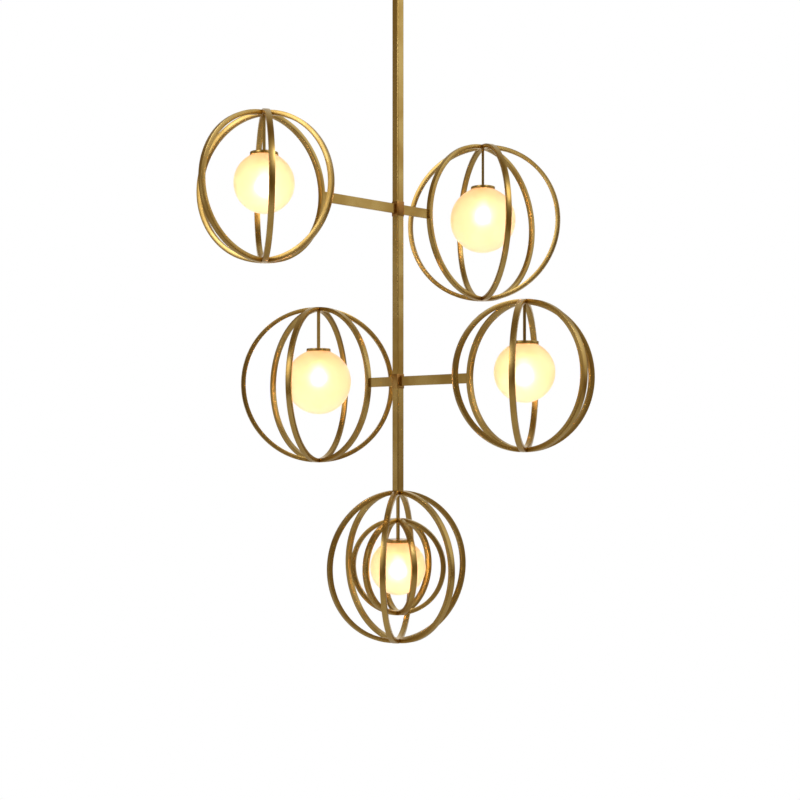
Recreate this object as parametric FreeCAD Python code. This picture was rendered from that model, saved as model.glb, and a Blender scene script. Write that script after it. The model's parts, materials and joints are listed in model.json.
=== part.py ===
import FreeCAD, Part
import math
import os

# Orb chandelier. Millimetres, +Z up. The origin is on the stem's axis in the ceiling's plane.
# The upper pair of arms runs along X and the lower pair along Y, each with a small orb on its
# long arm and a large orb on its short arm. A fifth orb hangs on the end of the stem.

# ---- overall sizes ----
upper_arm_drop = 500.0        # ceiling to the upper arms' middle
arm_pair_spacing = 316.0      # upper arms to lower arms
bottom_orb_drop = 339.5       # lower arms to the bottom orb's centre
small_orb_reach = 306.5       # stem axis to a small orb's centre
large_orb_reach = 228.0       # stem axis to a large orb's centre
small_orb_diameter = 254.0
large_orb_diameter = 304.8
bottom_orb_diameter = 279.4
inner_orb_diameter = 177.8

# ---- hoops: three upright circles per orb, lapped flush where they cross at both poles ----
hoop_depth = 7.8              # radial size of the hoop bar
hoop_width = 9.5              # size of the hoop bar along its own axis
lap_share = 1.0 / 3.0         # each hoop keeps a third of the bar's depth in a crossing
lap_gap = 0.04                # brazing gap at the lap's sides
# hoops a, b, c about each orb's axis, set by hand, so a little off the regular sixth of a turn;
# on the arm orbs from the arm's line, and hoop b is the one that the arm meets
upper_small_turns = (58.6, -1.0, -64.9)
upper_large_turns = (61.7, 0.8, -61.4)
lower_large_turns = (62.8, -0.8, -61.6)
lower_small_turns = (64.8, 1.0, -58.0)
bottom_turns = (-17.0, 90.7, 35.6)        # from the upper arms' line
inner_turns = (66.5, 4.3, -57.2)          # from the upper arms' line
rivet_radius = 2.0
rivet_gap = 0.04

# ---- stem and collars ----
stem_side = 15.5
stem_corner = 2.0
stem_wall = 1.2
collar_wall = 0.75
collar_height = 26.7
sleeve_gap = 0.05
lead_slot_width = 3.0
lead_slot_height = 12.0
stem_cope_length = 1.0        # extra length that the cope over the bottom orb takes off again

# ---- arms: flat tubes on edge ----
arm_thickness = 4.8
arm_height = 17.5
arm_wall = 0.9
arm_corner = 0.6
arm_cope_length = 1.0         # extra length that the cope to the hoop takes off again

# ---- drop rods, caps, lamp holders ----
rod_side = 5.0
rod_corner = 0.5
rod_bore_radius = 1.0
rod_spigot_radius = 2.0
rod_thread_radius = 2.3
rod_thread_length = 7.0
set_square = 0.0              # a rod's faces lie along the arms
set_cornerwise = 45.0         # a rod's corners lie along the arms
cap_radius = 24.0
cap_height = 5.5
cap_plate = 1.5
cap_wall = 1.2
cap_edge = 0.5
holder_radius = 12.5
holder_length = 26.0
holder_floor = 6.0
holder_taper = 3.0
socket_radius = 7.1

# ---- glass globes and bulbs ----
small_globe_diameter = 101.6
large_globe_diameter = 127.0
glass_wall = 2.5
neck_gap = 0.3                # neck to cap wall, neck to cap plate, globe to cap edge
neck_wall = 2.5
globe_lift = 6.0              # globe centre above the orb's centre on the four arm orbs
bottom_globe_lift = -1.5
bulb_base_radius = 6.9
bulb_base_length = 18.0
bulb_radius = 14.0
bulb_length = 44.0            # holder's lower edge to the tip

# ---- ceiling mount ----
canopy_radius = 65.0
canopy_height = 26.0
canopy_wall = 1.2
canopy_corner = 8.0
crossbar_length = 112.0
crossbar_width = 20.0
crossbar_thickness = 2.5
crossbar_corner = 8.0
crossbar_slot_spacing = 88.9
crossbar_slot_length = 16.0
crossbar_slot_width = 4.6
bolt_radius = 4.85
bolt_bore_radius = 3.3
thread_gap = 0.05
locknut_flats = 14.0
locknut_thickness = 4.0
ring_nut_radius = 13.0
ring_nut_thickness = 5.0
ring_nut_flutes = 18
flute_radius = 1.1
bolt_flange_thickness = 2.5

# ---- swivel: the yoke turns on the hollow bolt, the stem tilts on the yoke's pin ----
hub_thickness = 4.5
hub_running_gap = 0.3
yoke_width = 16.0
ear_thickness = 3.2
ear_side_gap = 0.35
flange_side_gap = 0.6         # bolt flange to the yoke's ears
pin_radius = 2.5
pin_running_gap = 0.05
pin_press_gap = 0.02
pin_head_radius = 3.8
pin_head_thickness = 1.2
pin_below_flange = 13.5
lug_thickness = 3.3
lug_end_radius = 7.5
shoulder_thickness = 4.0
shoulder_gap = 1.0
plug_length = 20.0
plug_gap = 0.1
plug_bore_radius = 4.0

X_AXIS = FreeCAD.Vector(1, 0, 0)
Y_AXIS = FreeCAD.Vector(0, 1, 0)
Z_AXIS = FreeCAD.Vector(0, 0, 1)
ORIGIN = FreeCAD.Vector(0, 0, 0)

lower_arm_turn = 90.0         # the lower arms' line from the upper arms' line

# ---- heights worked out from the sizes above ----
upper_arm_z = -upper_arm_drop
lower_arm_z = upper_arm_z - arm_pair_spacing
bottom_orb_z = lower_arm_z - bottom_orb_drop
ring_nut_top = -canopy_height
hub_top = ring_nut_top - ring_nut_thickness - hub_running_gap
flange_top = hub_top - hub_thickness
flange_bottom = flange_top - bolt_flange_thickness
pin_z = flange_bottom - pin_below_flange
ear_inner = stem_side / 2 + ear_side_gap
ear_outer = ear_inner + ear_thickness
bolt_flange_radius = ear_inner - flange_side_gap
shoulder_top = pin_z - lug_end_radius - shoulder_gap
stem_top = shoulder_top - shoulder_thickness
stem_bottom = bottom_orb_z + bottom_orb_diameter / 2


def turned_by(angle, turns):
    return tuple(turn + angle for turn in turns)


# name: (centre x, centre y, centre z, hoop diameter, hoop turns, globe diameter, globe lift,
#        drop rod's turn)
orbs = {
    "upper_small": (-small_orb_reach, 0.0, upper_arm_z, small_orb_diameter,
                    upper_small_turns, small_globe_diameter, globe_lift, set_cornerwise),
    "upper_large": (large_orb_reach, 0.0, upper_arm_z, large_orb_diameter,
                    upper_large_turns, large_globe_diameter, globe_lift, set_cornerwise),
    "lower_large": (0.0, large_orb_reach, lower_arm_z, large_orb_diameter,
                    turned_by(lower_arm_turn, lower_large_turns), large_globe_diameter, globe_lift,
                    set_square),
    "lower_small": (0.0, -small_orb_reach, lower_arm_z, small_orb_diameter,
                    turned_by(lower_arm_turn, lower_small_turns), small_globe_diameter, globe_lift,
                    set_cornerwise),
    "bottom": (0.0, 0.0, bottom_orb_z, bottom_orb_diameter,
               bottom_turns, small_globe_diameter, bottom_globe_lift, set_square),
}


def save(shape, node):
    shape.exportStep("parts/%s.step" % node)
    print("%-28s solids %d  volume %.1f" % (node, len(shape.Solids), shape.Volume))


def box(x_low, x_high, y_low, y_high, z_low, z_high):
    corner = FreeCAD.Vector(x_low, y_low, z_low)
    return Part.makeBox(x_high - x_low, y_high - y_low, z_high - z_low, corner)


def upright(radius, z_low, z_high, x=0.0, y=0.0):
    return Part.makeCylinder(radius, z_high - z_low, FreeCAD.Vector(x, y, z_low), Z_AXIS)


def square_bar(width_x, width_y, corner, z_low, z_high):
    bar = box(-width_x / 2, width_x / 2, -width_y / 2, width_y / 2, z_low, z_high)
    upright_edges = [edge for edge in bar.Edges if abs(edge.tangentAt(edge.FirstParameter).z) > 0.9]
    return bar.makeFillet(corner, upright_edges)


def turned(outline):
    """A solid of revolution about Z from (radius, z) points; a 4-number entry is an arc's
    middle point and end point."""
    edges = []
    start = None
    for entry in outline:
        end = FreeCAD.Vector(entry[-2], 0, entry[-1])
        if start is not None and len(entry) == 4:
            middle = FreeCAD.Vector(entry[0], 0, entry[1])
            edges.append(Part.Arc(start, middle, end).toShape())
        elif start is not None:
            edges.append(Part.makeLine(start, end))
        start = end
    first = FreeCAD.Vector(outline[0][-2], 0, outline[0][-1])
    edges.append(Part.makeLine(start, first))
    face = Part.Face(Part.Wire(edges))
    return face.revolve(ORIGIN, Z_AXIS, 360)


# ---- hoops ----

def hoop_cylinder(radius):
    return Part.makeCylinder(radius, hoop_width, FreeCAD.Vector(0, -hoop_width / 2, 0), Y_AXIS)


def hoop_blank(diameter, turn):
    ring = hoop_cylinder(diameter / 2).cut(hoop_cylinder(diameter / 2 - hoop_depth))
    ring.rotate(ORIGIN, Z_AXIS, turn)
    return ring


def crossing_slab(diameter, turn, z_low, z_high):
    """The block that a neighbour's bar fills at both poles, between two depths."""
    half = diameter / 4
    side = hoop_width / 2 + lap_gap
    top = box(-half, half, -side, side, z_low, z_high)
    bottom = box(-half, half, -side, side, -z_high, -z_low)
    slab = top.fuse(bottom)
    slab.rotate(ORIGIN, Z_AXIS, turn)
    return slab


def lapped_hoops(diameter, turns, pole_hole):
    """Three hoops a, b, c: at each pole a keeps the outer third, b the middle, c the inner."""
    outer_level = diameter / 2 - hoop_depth * lap_share
    inner_level = diameter / 2 - hoop_depth * 2 * lap_share
    over = diameter / 2 + hoop_depth
    under = diameter / 2 - 2 * hoop_depth
    turn_a, turn_b, turn_c = turns
    hoop_a = hoop_blank(diameter, turn_a)
    hoop_a = hoop_a.cut(crossing_slab(diameter, turn_b, under, outer_level))
    hoop_a = hoop_a.cut(crossing_slab(diameter, turn_c, under, outer_level))
    hoop_b = hoop_blank(diameter, turn_b)
    hoop_b = hoop_b.cut(crossing_slab(diameter, turn_a, outer_level, over))
    hoop_b = hoop_b.cut(crossing_slab(diameter, turn_c, under, inner_level))
    hoop_c = hoop_blank(diameter, turn_c)
    hoop_c = hoop_c.cut(crossing_slab(diameter, turn_a, outer_level, over))
    hoop_c = hoop_c.cut(crossing_slab(diameter, turn_b, inner_level, over))
    return [hoop.cut(pole_hole) for hoop in (hoop_a, hoop_b, hoop_c)]


def pole_rivet(radius):
    """A flush rivet through the three laps of a bottom pole."""
    return upright(rivet_radius, -radius, -radius + hoop_depth)


# ---- globe fittings, about the globe's centre ----

def sphere_height(radius, distance):
    return math.sqrt(radius ** 2 - distance ** 2)


def cap_levels(globe_radius):
    """Lower edge, plate underside and top of a cap that clears its globe."""
    low = sphere_height(globe_radius, cap_radius - cap_wall) + neck_gap
    top = low + cap_height
    return low, top - cap_plate, top


def globe_cap(globe_radius):
    low, plate_low, top = cap_levels(globe_radius)
    inner = cap_radius - cap_wall
    hole = rod_thread_radius + thread_gap
    return turned([(hole, top), (cap_radius - cap_edge, top), (cap_radius, top - cap_edge),
                   (cap_radius, low), (inner, low), (inner, plate_low), (hole, plate_low)])


def globe(globe_radius):
    """A blown ball with a short open neck that rises into the cap."""
    neck_top = cap_levels(globe_radius)[1] - neck_gap
    neck_outer = cap_radius - cap_wall - neck_gap
    neck_inner = neck_outer - neck_wall
    below_neck = sphere_height(globe_radius, neck_outer)
    ball = Part.makeSphere(globe_radius)
    ball = ball.cut(box(-globe_radius, globe_radius, -globe_radius, globe_radius,
                        below_neck, 2 * globe_radius))
    ball = ball.fuse(upright(neck_outer, 0, neck_top))
    hollow = Part.makeSphere(globe_radius - glass_wall)
    hollow = hollow.fuse(upright(neck_inner, 0, neck_top))
    return ball.cut(hollow).removeSplitter()


def lamp_holder(globe_radius):
    top = cap_levels(globe_radius)[1]
    low = top - holder_length
    thread_hole = rod_thread_radius + thread_gap
    return turned([(thread_hole, top), (holder_radius - holder_taper, top),
                   (holder_radius, top - 2 * holder_taper), (holder_radius, low),
                   (socket_radius, low), (socket_radius, top - holder_floor),
                   (thread_hole, top - holder_floor)])


def bulb(globe_radius):
    """A screw base in the holder, a tapered collar and a round bulb."""
    holder_low = cap_levels(globe_radius)[1] - holder_length
    base_top = holder_low + bulb_base_length
    belly = holder_low - bulb_length + bulb_radius
    waist = math.sqrt(0.5) * bulb_radius
    base = turned([(0, base_top), (bulb_base_radius, base_top), (bulb_base_radius, holder_low - neck_gap),
                   (waist, belly + waist), (0, belly)])
    ball = Part.makeSphere(bulb_radius, FreeCAD.Vector(0, 0, belly))
    return base.fuse(ball).removeSplitter()


def drop_rod(pole_underside, cap_top, turn):
    """Square rod; a round spigot is riveted up through the laps, a thread goes down through the cap."""
    rod = square_bar(rod_side, rod_side, rod_corner, cap_top, pole_underside)
    rod.rotate(ORIGIN, Z_AXIS, turn)
    spigot = upright(rod_spigot_radius, pole_underside, pole_underside + hoop_depth)
    thread = upright(rod_thread_radius, cap_top - rod_thread_length, cap_top)
    bore = upright(rod_bore_radius, cap_top - rod_thread_length, pole_underside + hoop_depth)
    return rod.fuse(spigot).fuse(thread).cut(bore)


def place(shape, centre):
    shape.translate(centre)
    return shape


# ---- arms ----

def arm(reach, orb_diameter, turn, height, hoop_turn):
    """A flat tube from the stem's face to the hoop, coped to the hoop's curve. The hoop is turned
    from the arm's line by hoop_turn."""
    start = stem_side / 2 + sleeve_gap
    end = reach - orb_diameter / 2 + arm_cope_length
    tube = box(start, end, -arm_thickness / 2, arm_thickness / 2, -arm_height / 2, arm_height / 2)
    long_edges = [edge for edge in tube.Edges if abs(edge.tangentAt(edge.FirstParameter).x) > 0.9]
    tube = tube.makeFillet(arm_corner, long_edges)
    inner_y = arm_thickness / 2 - arm_wall
    inner_z = arm_height / 2 - arm_wall
    tube = tube.cut(box(0, reach, -inner_y, inner_y, -inner_z, inner_z))
    cope = Part.makeCylinder(orb_diameter / 2, 4 * arm_thickness,
                             FreeCAD.Vector(reach, -2 * arm_thickness, 0), Y_AXIS)
    cope.rotate(FreeCAD.Vector(reach, 0, 0), Z_AXIS, hoop_turn)
    tube = tube.cut(cope)
    tube.rotate(ORIGIN, Z_AXIS, turn)
    return place(tube, FreeCAD.Vector(0, 0, height))


def lead_slot(turn, height):
    slot = box(-stem_side, stem_side, -lead_slot_width / 2, lead_slot_width / 2,
               -lead_slot_height / 2, lead_slot_height / 2)
    slot.rotate(ORIGIN, Z_AXIS, turn)
    return place(slot, FreeCAD.Vector(0, 0, height))


def arm_collar(turn, height):
    """A close sleeve on the stem, with a window on two sides that each arm's end passes."""
    outer = stem_side + 2 * (sleeve_gap + collar_wall)
    inner = stem_side + 2 * sleeve_gap
    sleeve = square_bar(outer, outer, stem_corner, -collar_height / 2, collar_height / 2)
    bore = square_bar(inner, inner, stem_corner, -collar_height, collar_height)
    window_y = arm_thickness / 2 + sleeve_gap
    window_z = arm_height / 2 + sleeve_gap
    window = box(-stem_side, stem_side, -window_y, window_y, -window_z, window_z)
    sleeve = sleeve.cut(bore).cut(window)
    sleeve.rotate(ORIGIN, Z_AXIS, turn)
    return place(sleeve, FreeCAD.Vector(0, 0, height))


def stem_tube():
    foot = stem_bottom - stem_cope_length
    outer = square_bar(stem_side, stem_side, stem_corner, foot, stem_top)
    inside = stem_side - 2 * stem_wall
    inner = square_bar(inside, inside, stem_corner - stem_wall, 2 * foot, 0)
    tube = outer.cut(inner).cut(lead_slot(0.0, upper_arm_z))
    return tube.cut(lead_slot(lower_arm_turn, lower_arm_z))


# ---- ceiling mount ----

def ceiling_crossbar():
    half = crossbar_length / 2
    strip = box(-half, half, -crossbar_width / 2, crossbar_width / 2, -crossbar_thickness, 0)
    corners = [edge for edge in strip.Edges if abs(edge.tangentAt(edge.FirstParameter).z) > 0.9]
    strip = strip.makeFillet(crossbar_corner, corners)
    strip = strip.cut(upright(bolt_radius + thread_gap, -crossbar_thickness, 0))
    straight = (crossbar_slot_length - crossbar_slot_width) / 2
    for side in (-1, 1):
        middle = side * crossbar_slot_spacing / 2
        slot = box(middle - straight, middle + straight,
                   -crossbar_slot_width / 2, crossbar_slot_width / 2, -crossbar_thickness, 0)
        for end in (-straight, straight):
            slot = slot.fuse(upright(crossbar_slot_width / 2, -crossbar_thickness, 0, middle + end))
        strip = strip.cut(slot)
    return strip


def swivel_bolt():
    shank = upright(bolt_radius, flange_top, 0)
    flange = upright(bolt_flange_radius, flange_bottom, flange_top)
    return shank.fuse(flange).cut(upright(bolt_bore_radius, flange_bottom, 0))


def crossbar_locknut():
    corner_radius = locknut_flats / math.sqrt(3)
    top = -crossbar_thickness
    corners = [FreeCAD.Vector(corner_radius * math.cos(math.radians(60 * k)),
                              corner_radius * math.sin(math.radians(60 * k)), top) for k in range(7)]
    hexagon = Part.Face(Part.makePolygon(corners))
    nut = hexagon.extrude(FreeCAD.Vector(0, 0, -locknut_thickness))
    return nut.cut(upright(bolt_radius + thread_gap, top - locknut_thickness, top))


def canopy():
    hole = bolt_radius + thread_gap
    inner_corner = canopy_corner - canopy_wall
    bend = math.sqrt(0.5)
    outer_mid = (canopy_radius - canopy_corner * (1 - bend), -canopy_height + canopy_corner * (1 - bend))
    arc_x = canopy_radius - canopy_corner
    arc_z = -canopy_height + canopy_corner
    inner_mid = (arc_x + inner_corner * bend, arc_z - inner_corner * bend)
    return turned([(canopy_radius, 0), (canopy_radius, arc_z),
                   outer_mid + (arc_x, -canopy_height),
                   (hole, -canopy_height), (hole, -canopy_height + canopy_wall),
                   (arc_x, -canopy_height + canopy_wall),
                   inner_mid + (canopy_radius - canopy_wall, arc_z),
                   (canopy_radius - canopy_wall, 0)])


def canopy_ring_nut():
    low = ring_nut_top - ring_nut_thickness
    ring = upright(ring_nut_radius, low, ring_nut_top)
    ring = ring.cut(upright(bolt_radius + thread_gap, low, ring_nut_top))
    for flute in range(ring_nut_flutes):
        angle = 2 * math.pi * flute / ring_nut_flutes
        ring = ring.cut(upright(flute_radius, low, ring_nut_top,
                                ring_nut_radius * math.cos(angle), ring_nut_radius * math.sin(angle)))
    return ring


# ---- swivel ----

def ear_plate(x_low, x_high, end_radius, width, top):
    """An upright plate across X with a rounded end about the pin."""
    plate = box(x_low, x_high, -width / 2, width / 2, pin_z, top)
    end = Part.makeCylinder(end_radius, x_high - x_low, FreeCAD.Vector(x_low, 0, pin_z), X_AXIS)
    return plate.fuse(end)


def pin_hole(radius):
    return Part.makeCylinder(radius, 2 * stem_side, FreeCAD.Vector(-stem_side, 0, pin_z), X_AXIS)


def swivel_yoke():
    hub = box(-ear_outer, ear_outer, -yoke_width / 2, yoke_width / 2, flange_top, hub_top)
    yoke = hub
    for side in (-1, 1):
        inner_x = side * ear_inner
        outer_x = side * ear_outer
        ear = ear_plate(min(inner_x, outer_x), max(inner_x, outer_x), yoke_width / 2, yoke_width, hub_top)
        yoke = yoke.fuse(ear)
    yoke = yoke.cut(upright(bolt_radius + pin_running_gap, flange_top, hub_top))
    return yoke.cut(pin_hole(pin_radius + pin_press_gap)).removeSplitter()


def swivel_pin():
    pin = Part.makeCylinder(pin_radius, 2 * ear_outer, FreeCAD.Vector(-ear_outer, 0, pin_z), X_AXIS)
    for start in (-ear_outer - pin_head_thickness, ear_outer):
        pin = pin.fuse(Part.makeCylinder(pin_head_radius, pin_head_thickness,
                                         FreeCAD.Vector(start, 0, pin_z), X_AXIS))
    return pin.removeSplitter()


def stem_top_lugs():
    """The stem's end plug, with a shoulder on the tube and two lugs between the yoke's ears."""
    shoulder = square_bar(stem_side, stem_side, stem_corner, stem_top, shoulder_top)
    plug_side = stem_side - 2 * stem_wall - 2 * plug_gap
    plug = square_bar(plug_side, plug_side, stem_corner - stem_wall, stem_top - plug_length, stem_top)
    body = shoulder.fuse(plug).cut(upright(plug_bore_radius, stem_top - plug_length, shoulder_top))
    outer_x = stem_side / 2
    inner_x = outer_x - lug_thickness
    for low, high in ((-outer_x, -inner_x), (inner_x, outer_x)):
        lug = box(low, high, -lug_end_radius, lug_end_radius, shoulder_top, pin_z)
        end = Part.makeCylinder(lug_end_radius, high - low, FreeCAD.Vector(low, 0, pin_z), X_AXIS)
        body = body.fuse(lug.fuse(end))
    return body.cut(pin_hole(pin_radius + pin_running_gap)).removeSplitter()


# ---- the pieces, one file each ----
os.makedirs("parts", exist_ok=True)

save(ceiling_crossbar(), "ceiling_crossbar")
save(swivel_bolt(), "swivel_bolt")
save(crossbar_locknut(), "crossbar_locknut")
save(canopy(), "canopy")
save(canopy_ring_nut(), "canopy_ring_nut")
save(swivel_yoke(), "swivel_yoke")
save(swivel_pin(), "swivel_pin")
save(stem_top_lugs(), "stem_top_lugs")
save(arm_collar(0.0, upper_arm_z), "upper_arm_collar")
save(arm_collar(lower_arm_turn, lower_arm_z), "lower_arm_collar")
save(arm(small_orb_reach, small_orb_diameter, 180.0, upper_arm_z, upper_small_turns[1]),
     "upper_small_arm")
save(arm(large_orb_reach, large_orb_diameter, 0.0, upper_arm_z, upper_large_turns[1]),
     "upper_large_arm")
save(arm(large_orb_reach, large_orb_diameter, lower_arm_turn, lower_arm_z, lower_large_turns[1]),
     "lower_large_arm")
save(arm(small_orb_reach, small_orb_diameter, lower_arm_turn + 180.0, lower_arm_z, lower_small_turns[1]),
     "lower_small_arm")

stem = stem_tube()
rivets = []
for name, (x, y, z, diameter, turns, globe_diameter, lift, rod_turn) in orbs.items():
    centre = FreeCAD.Vector(x, y, z)
    globe_centre = FreeCAD.Vector(x, y, z + lift)
    globe_radius = globe_diameter / 2
    pole = upright(rivet_radius + rivet_gap, -diameter, diameter)
    rod = drop_rod(diameter / 2 - hoop_depth, lift + cap_levels(globe_radius)[2], rod_turn)
    place(rod, centre)
    for letter, hoop in zip("abc", lapped_hoops(diameter, turns, pole)):
        place(hoop, centre)
        save(hoop, "%s_hoop_%s" % (name, letter))
        rod = rod.cut(hoop)
        if name == "bottom":
            stem = stem.cut(hoop)
    save(rod, "%s_drop_rod" % name)
    rivets.append(place(pole_rivet(diameter / 2), centre))
    save(place(globe_cap(globe_radius), globe_centre), "%s_globe_cap" % name)
    save(place(lamp_holder(globe_radius), globe_centre), "%s_lamp_holder" % name)
    save(place(globe(globe_radius), globe_centre), "%s_globe" % name)
    save(place(bulb(globe_radius), globe_centre), "%s_bulb" % name)

rod_hole = rod_side / 2 + rivet_gap
inner_hole = box(-rod_hole, rod_hole, -rod_hole, rod_hole, 0, inner_orb_diameter)
inner_hole = inner_hole.fuse(upright(rivet_radius + rivet_gap, -inner_orb_diameter, 0))
inner_centre = FreeCAD.Vector(0, 0, bottom_orb_z)
for letter, hoop in zip("abc", lapped_hoops(inner_orb_diameter, inner_turns, inner_hole)):
    save(place(hoop, inner_centre), "inner_orb_hoop_%s" % letter)
rivets.append(place(pole_rivet(inner_orb_diameter / 2), inner_centre))

save(stem, "stem_tube")
save(Part.makeCompound(rivets), "pole_rivets")
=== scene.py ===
import json
import math
import bpy
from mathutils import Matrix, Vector

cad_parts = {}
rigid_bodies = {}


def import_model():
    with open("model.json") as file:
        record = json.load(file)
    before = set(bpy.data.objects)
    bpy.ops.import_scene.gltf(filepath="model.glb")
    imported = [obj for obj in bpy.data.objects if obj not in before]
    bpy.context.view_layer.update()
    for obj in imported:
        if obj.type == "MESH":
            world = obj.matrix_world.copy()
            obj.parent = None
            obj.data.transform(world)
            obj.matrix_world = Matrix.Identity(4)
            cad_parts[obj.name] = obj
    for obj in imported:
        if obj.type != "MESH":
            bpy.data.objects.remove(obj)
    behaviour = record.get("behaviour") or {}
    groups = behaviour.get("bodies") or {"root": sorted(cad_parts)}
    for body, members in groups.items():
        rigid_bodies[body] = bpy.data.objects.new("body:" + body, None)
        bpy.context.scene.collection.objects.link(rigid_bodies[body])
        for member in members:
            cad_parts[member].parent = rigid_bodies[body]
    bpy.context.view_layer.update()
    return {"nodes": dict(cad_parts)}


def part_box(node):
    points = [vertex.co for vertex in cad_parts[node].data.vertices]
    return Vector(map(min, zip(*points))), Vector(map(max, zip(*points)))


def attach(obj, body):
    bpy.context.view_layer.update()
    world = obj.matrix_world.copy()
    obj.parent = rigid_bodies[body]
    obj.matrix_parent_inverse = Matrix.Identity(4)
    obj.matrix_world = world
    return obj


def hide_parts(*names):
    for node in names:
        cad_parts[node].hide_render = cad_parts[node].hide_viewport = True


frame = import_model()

bpy.ops.object.select_all(action="DESELECT")
cadNodes = frame["nodes"]
print("frame loaded:", len(cadNodes), "nodes")

# hoop turns in degrees about each orb's upright axis, a then b then c
orbs = {
    "upper_small": (58.6, -1.0, -64.9),
    "upper_large": (61.7, 0.8, -61.4),
    "lower_large": (152.8, 89.2, 28.4),
    "lower_small": (154.8, 91.0, 32.0),
    "bottom": (-17.0, 90.7, 35.6),
    "inner_orb": (66.5, 4.3, -57.2),
}
upright = Vector((0, 0, 1))
lampOrbs = ("upper_small", "upper_large", "lower_large", "lower_small", "bottom")


def pickUp(piece):
    if bpy.context.mode != "OBJECT":
        bpy.ops.object.mode_set(mode="OBJECT")
    bpy.ops.object.select_all(action="DESELECT")
    piece.select_set(True)
    bpy.context.view_layer.objects.active = piece


def newPiece(name):
    # names the primitive that was just added and puts its place in its mesh
    piece = bpy.context.object
    piece.name = name
    piece.data.name = name
    pickUp(piece)
    bpy.ops.object.transform_apply(location=True, rotation=True, scale=True)
    return piece


def placePiece(piece, place, turn=0.0):
    pickUp(piece)
    piece.rotation_euler = (0, 0, math.radians(turn))
    piece.location = place
    bpy.ops.object.transform_apply(location=True, rotation=True, scale=True)


def copyAt(pattern, name, place):
    # puts a copy with its own mesh where the frame has the piece
    twin = pattern.copy()
    twin.data = pattern.data.copy()
    twin.name = name
    twin.data.name = name
    bpy.context.scene.collection.objects.link(twin)
    placePiece(twin, place)
    return twin


patterns = {}


def patternFor(model, *sizes):
    # what repeats is modelled once for each size and then copied
    key = (model.__name__, *(round(size, 5) for size in sizes))
    if key not in patterns:
        patterns[key] = model(*sizes)
    return patterns[key]


def runModifier(piece, kind, **values):
    modifier = piece.modifiers.new(kind.lower(), kind)
    for name, value in values.items():
        setattr(modifier, name, value)
    pickUp(piece)
    bpy.ops.object.modifier_apply(modifier=modifier.name)


def cutWith(piece, cutter):
    runModifier(piece, "BOOLEAN", operation="DIFFERENCE", object=cutter, solver="EXACT")
    bpy.data.objects.remove(cutter)


def easeEdges(piece, width, steps=2, angle=40.0):
    runModifier(piece, "BEVEL", width=width, segments=steps, limit_method="ANGLE",
                angle_limit=math.radians(angle), use_clamp_overlap=True)


def smoothFaces(piece, angle=35.0):
    pickUp(piece)
    bpy.ops.object.shade_smooth_by_angle(angle=math.radians(angle))


def editAll(piece):
    pickUp(piece)
    bpy.ops.object.mode_set(mode="EDIT")
    bpy.ops.mesh.select_mode(type="VERT")
    bpy.ops.mesh.select_all(action="SELECT")


def selectLevel(piece, height, slack=1e-6):
    # selects the edges that lie at one height, in edge mode
    bpy.ops.object.mode_set(mode="OBJECT")
    mesh = piece.data
    level = [abs(v.co.z - height) < slack for v in mesh.vertices]
    for face in mesh.polygons:
        face.select = False
    for vertex in mesh.vertices:
        vertex.select = level[vertex.index]
    for edge in mesh.edges:
        edge.select = level[edge.vertices[0]] and level[edge.vertices[1]]
    bpy.ops.object.mode_set(mode="EDIT")
    bpy.ops.mesh.select_mode(type="EDGE")


def middleOf(node):
    low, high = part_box(node)
    return (low + high) / 2


def turnedPiece(name, outline, sides):
    # draws a ring at the first (radius, height) and extrudes it through the others
    radius, height = outline[0]
    bpy.ops.object.select_all(action="DESELECT")
    bpy.ops.mesh.primitive_circle_add(vertices=sides, radius=radius, location=(0, 0, height))
    piece = newPiece(name)
    editAll(piece)
    for nextRadius, nextHeight in outline[1:]:
        rise = {"value": (0, 0, nextHeight - height)}
        bpy.ops.mesh.extrude_edges_move(TRANSFORM_OT_translate=rise)
        grow = nextRadius / radius
        bpy.ops.transform.resize(value=(grow, grow, 1))
        radius, height = nextRadius, nextHeight
    bpy.ops.mesh.select_all(action="SELECT")
    bpy.ops.mesh.remove_doubles(threshold=1e-6)
    bpy.ops.mesh.select_all(action="DESELECT")
    bpy.ops.mesh.select_non_manifold()
    bpy.ops.mesh.edge_face_add()
    bpy.ops.mesh.select_all(action="SELECT")
    bpy.ops.mesh.normals_make_consistent(inside=False)
    bpy.ops.object.mode_set(mode="OBJECT")
    return piece


def arcPoints(centreRadius, centreHeight, radius, start, end, steps):
    # (radius, height) points along an arc, angles in degrees from straight out
    points = []
    for step in range(steps + 1):
        angle = math.radians(start + (end - start) * step / steps)
        points.append((centreRadius + radius * math.cos(angle),
                       centreHeight + radius * math.sin(angle)))
    return points


def writeGrain(piece, centre, axis):
    # the finishing belt ran round the axis: grainWay is its direction, and in grainLine x and y
    # go round the piece while z goes across it
    line = piece.data.attributes.new("grainLine", "FLOAT_VECTOR", "POINT")
    way = piece.data.attributes.new("grainWay", "FLOAT_VECTOR", "POINT")
    across = axis.orthogonal().normalized()
    other = axis.cross(across)
    reach = max((vertex.co - centre).length for vertex in piece.data.vertices)
    for vertex in piece.data.vertices:
        place = vertex.co - centre
        height = place.dot(axis)
        out = place - axis * height
        if out.length > 1e-7:
            way.data[vertex.index].vector = axis.cross(out).normalized()
        turn = math.atan2(out.dot(other), out.dot(across))
        line.data[vertex.index].vector = (
            math.cos(turn) * reach, math.sin(turn) * reach, height + out.length)


def dress(piece, body, slot, material, *nodes):
    piece.data.materials.clear()
    piece.data.materials.append(material)
    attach(piece, body)
    if nodes:
        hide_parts(*nodes)


def addNode(tree, kind, place, settings=None, values=None):
    node = tree.nodes.new(kind)
    node.location = place
    for name, value in (settings or {}).items():
        setattr(node, name, value)
    for name, value in (values or {}).items():
        node.inputs[name].default_value = value
    return node


def join(tree, start, end):
    tree.links.new(start, end)


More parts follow.
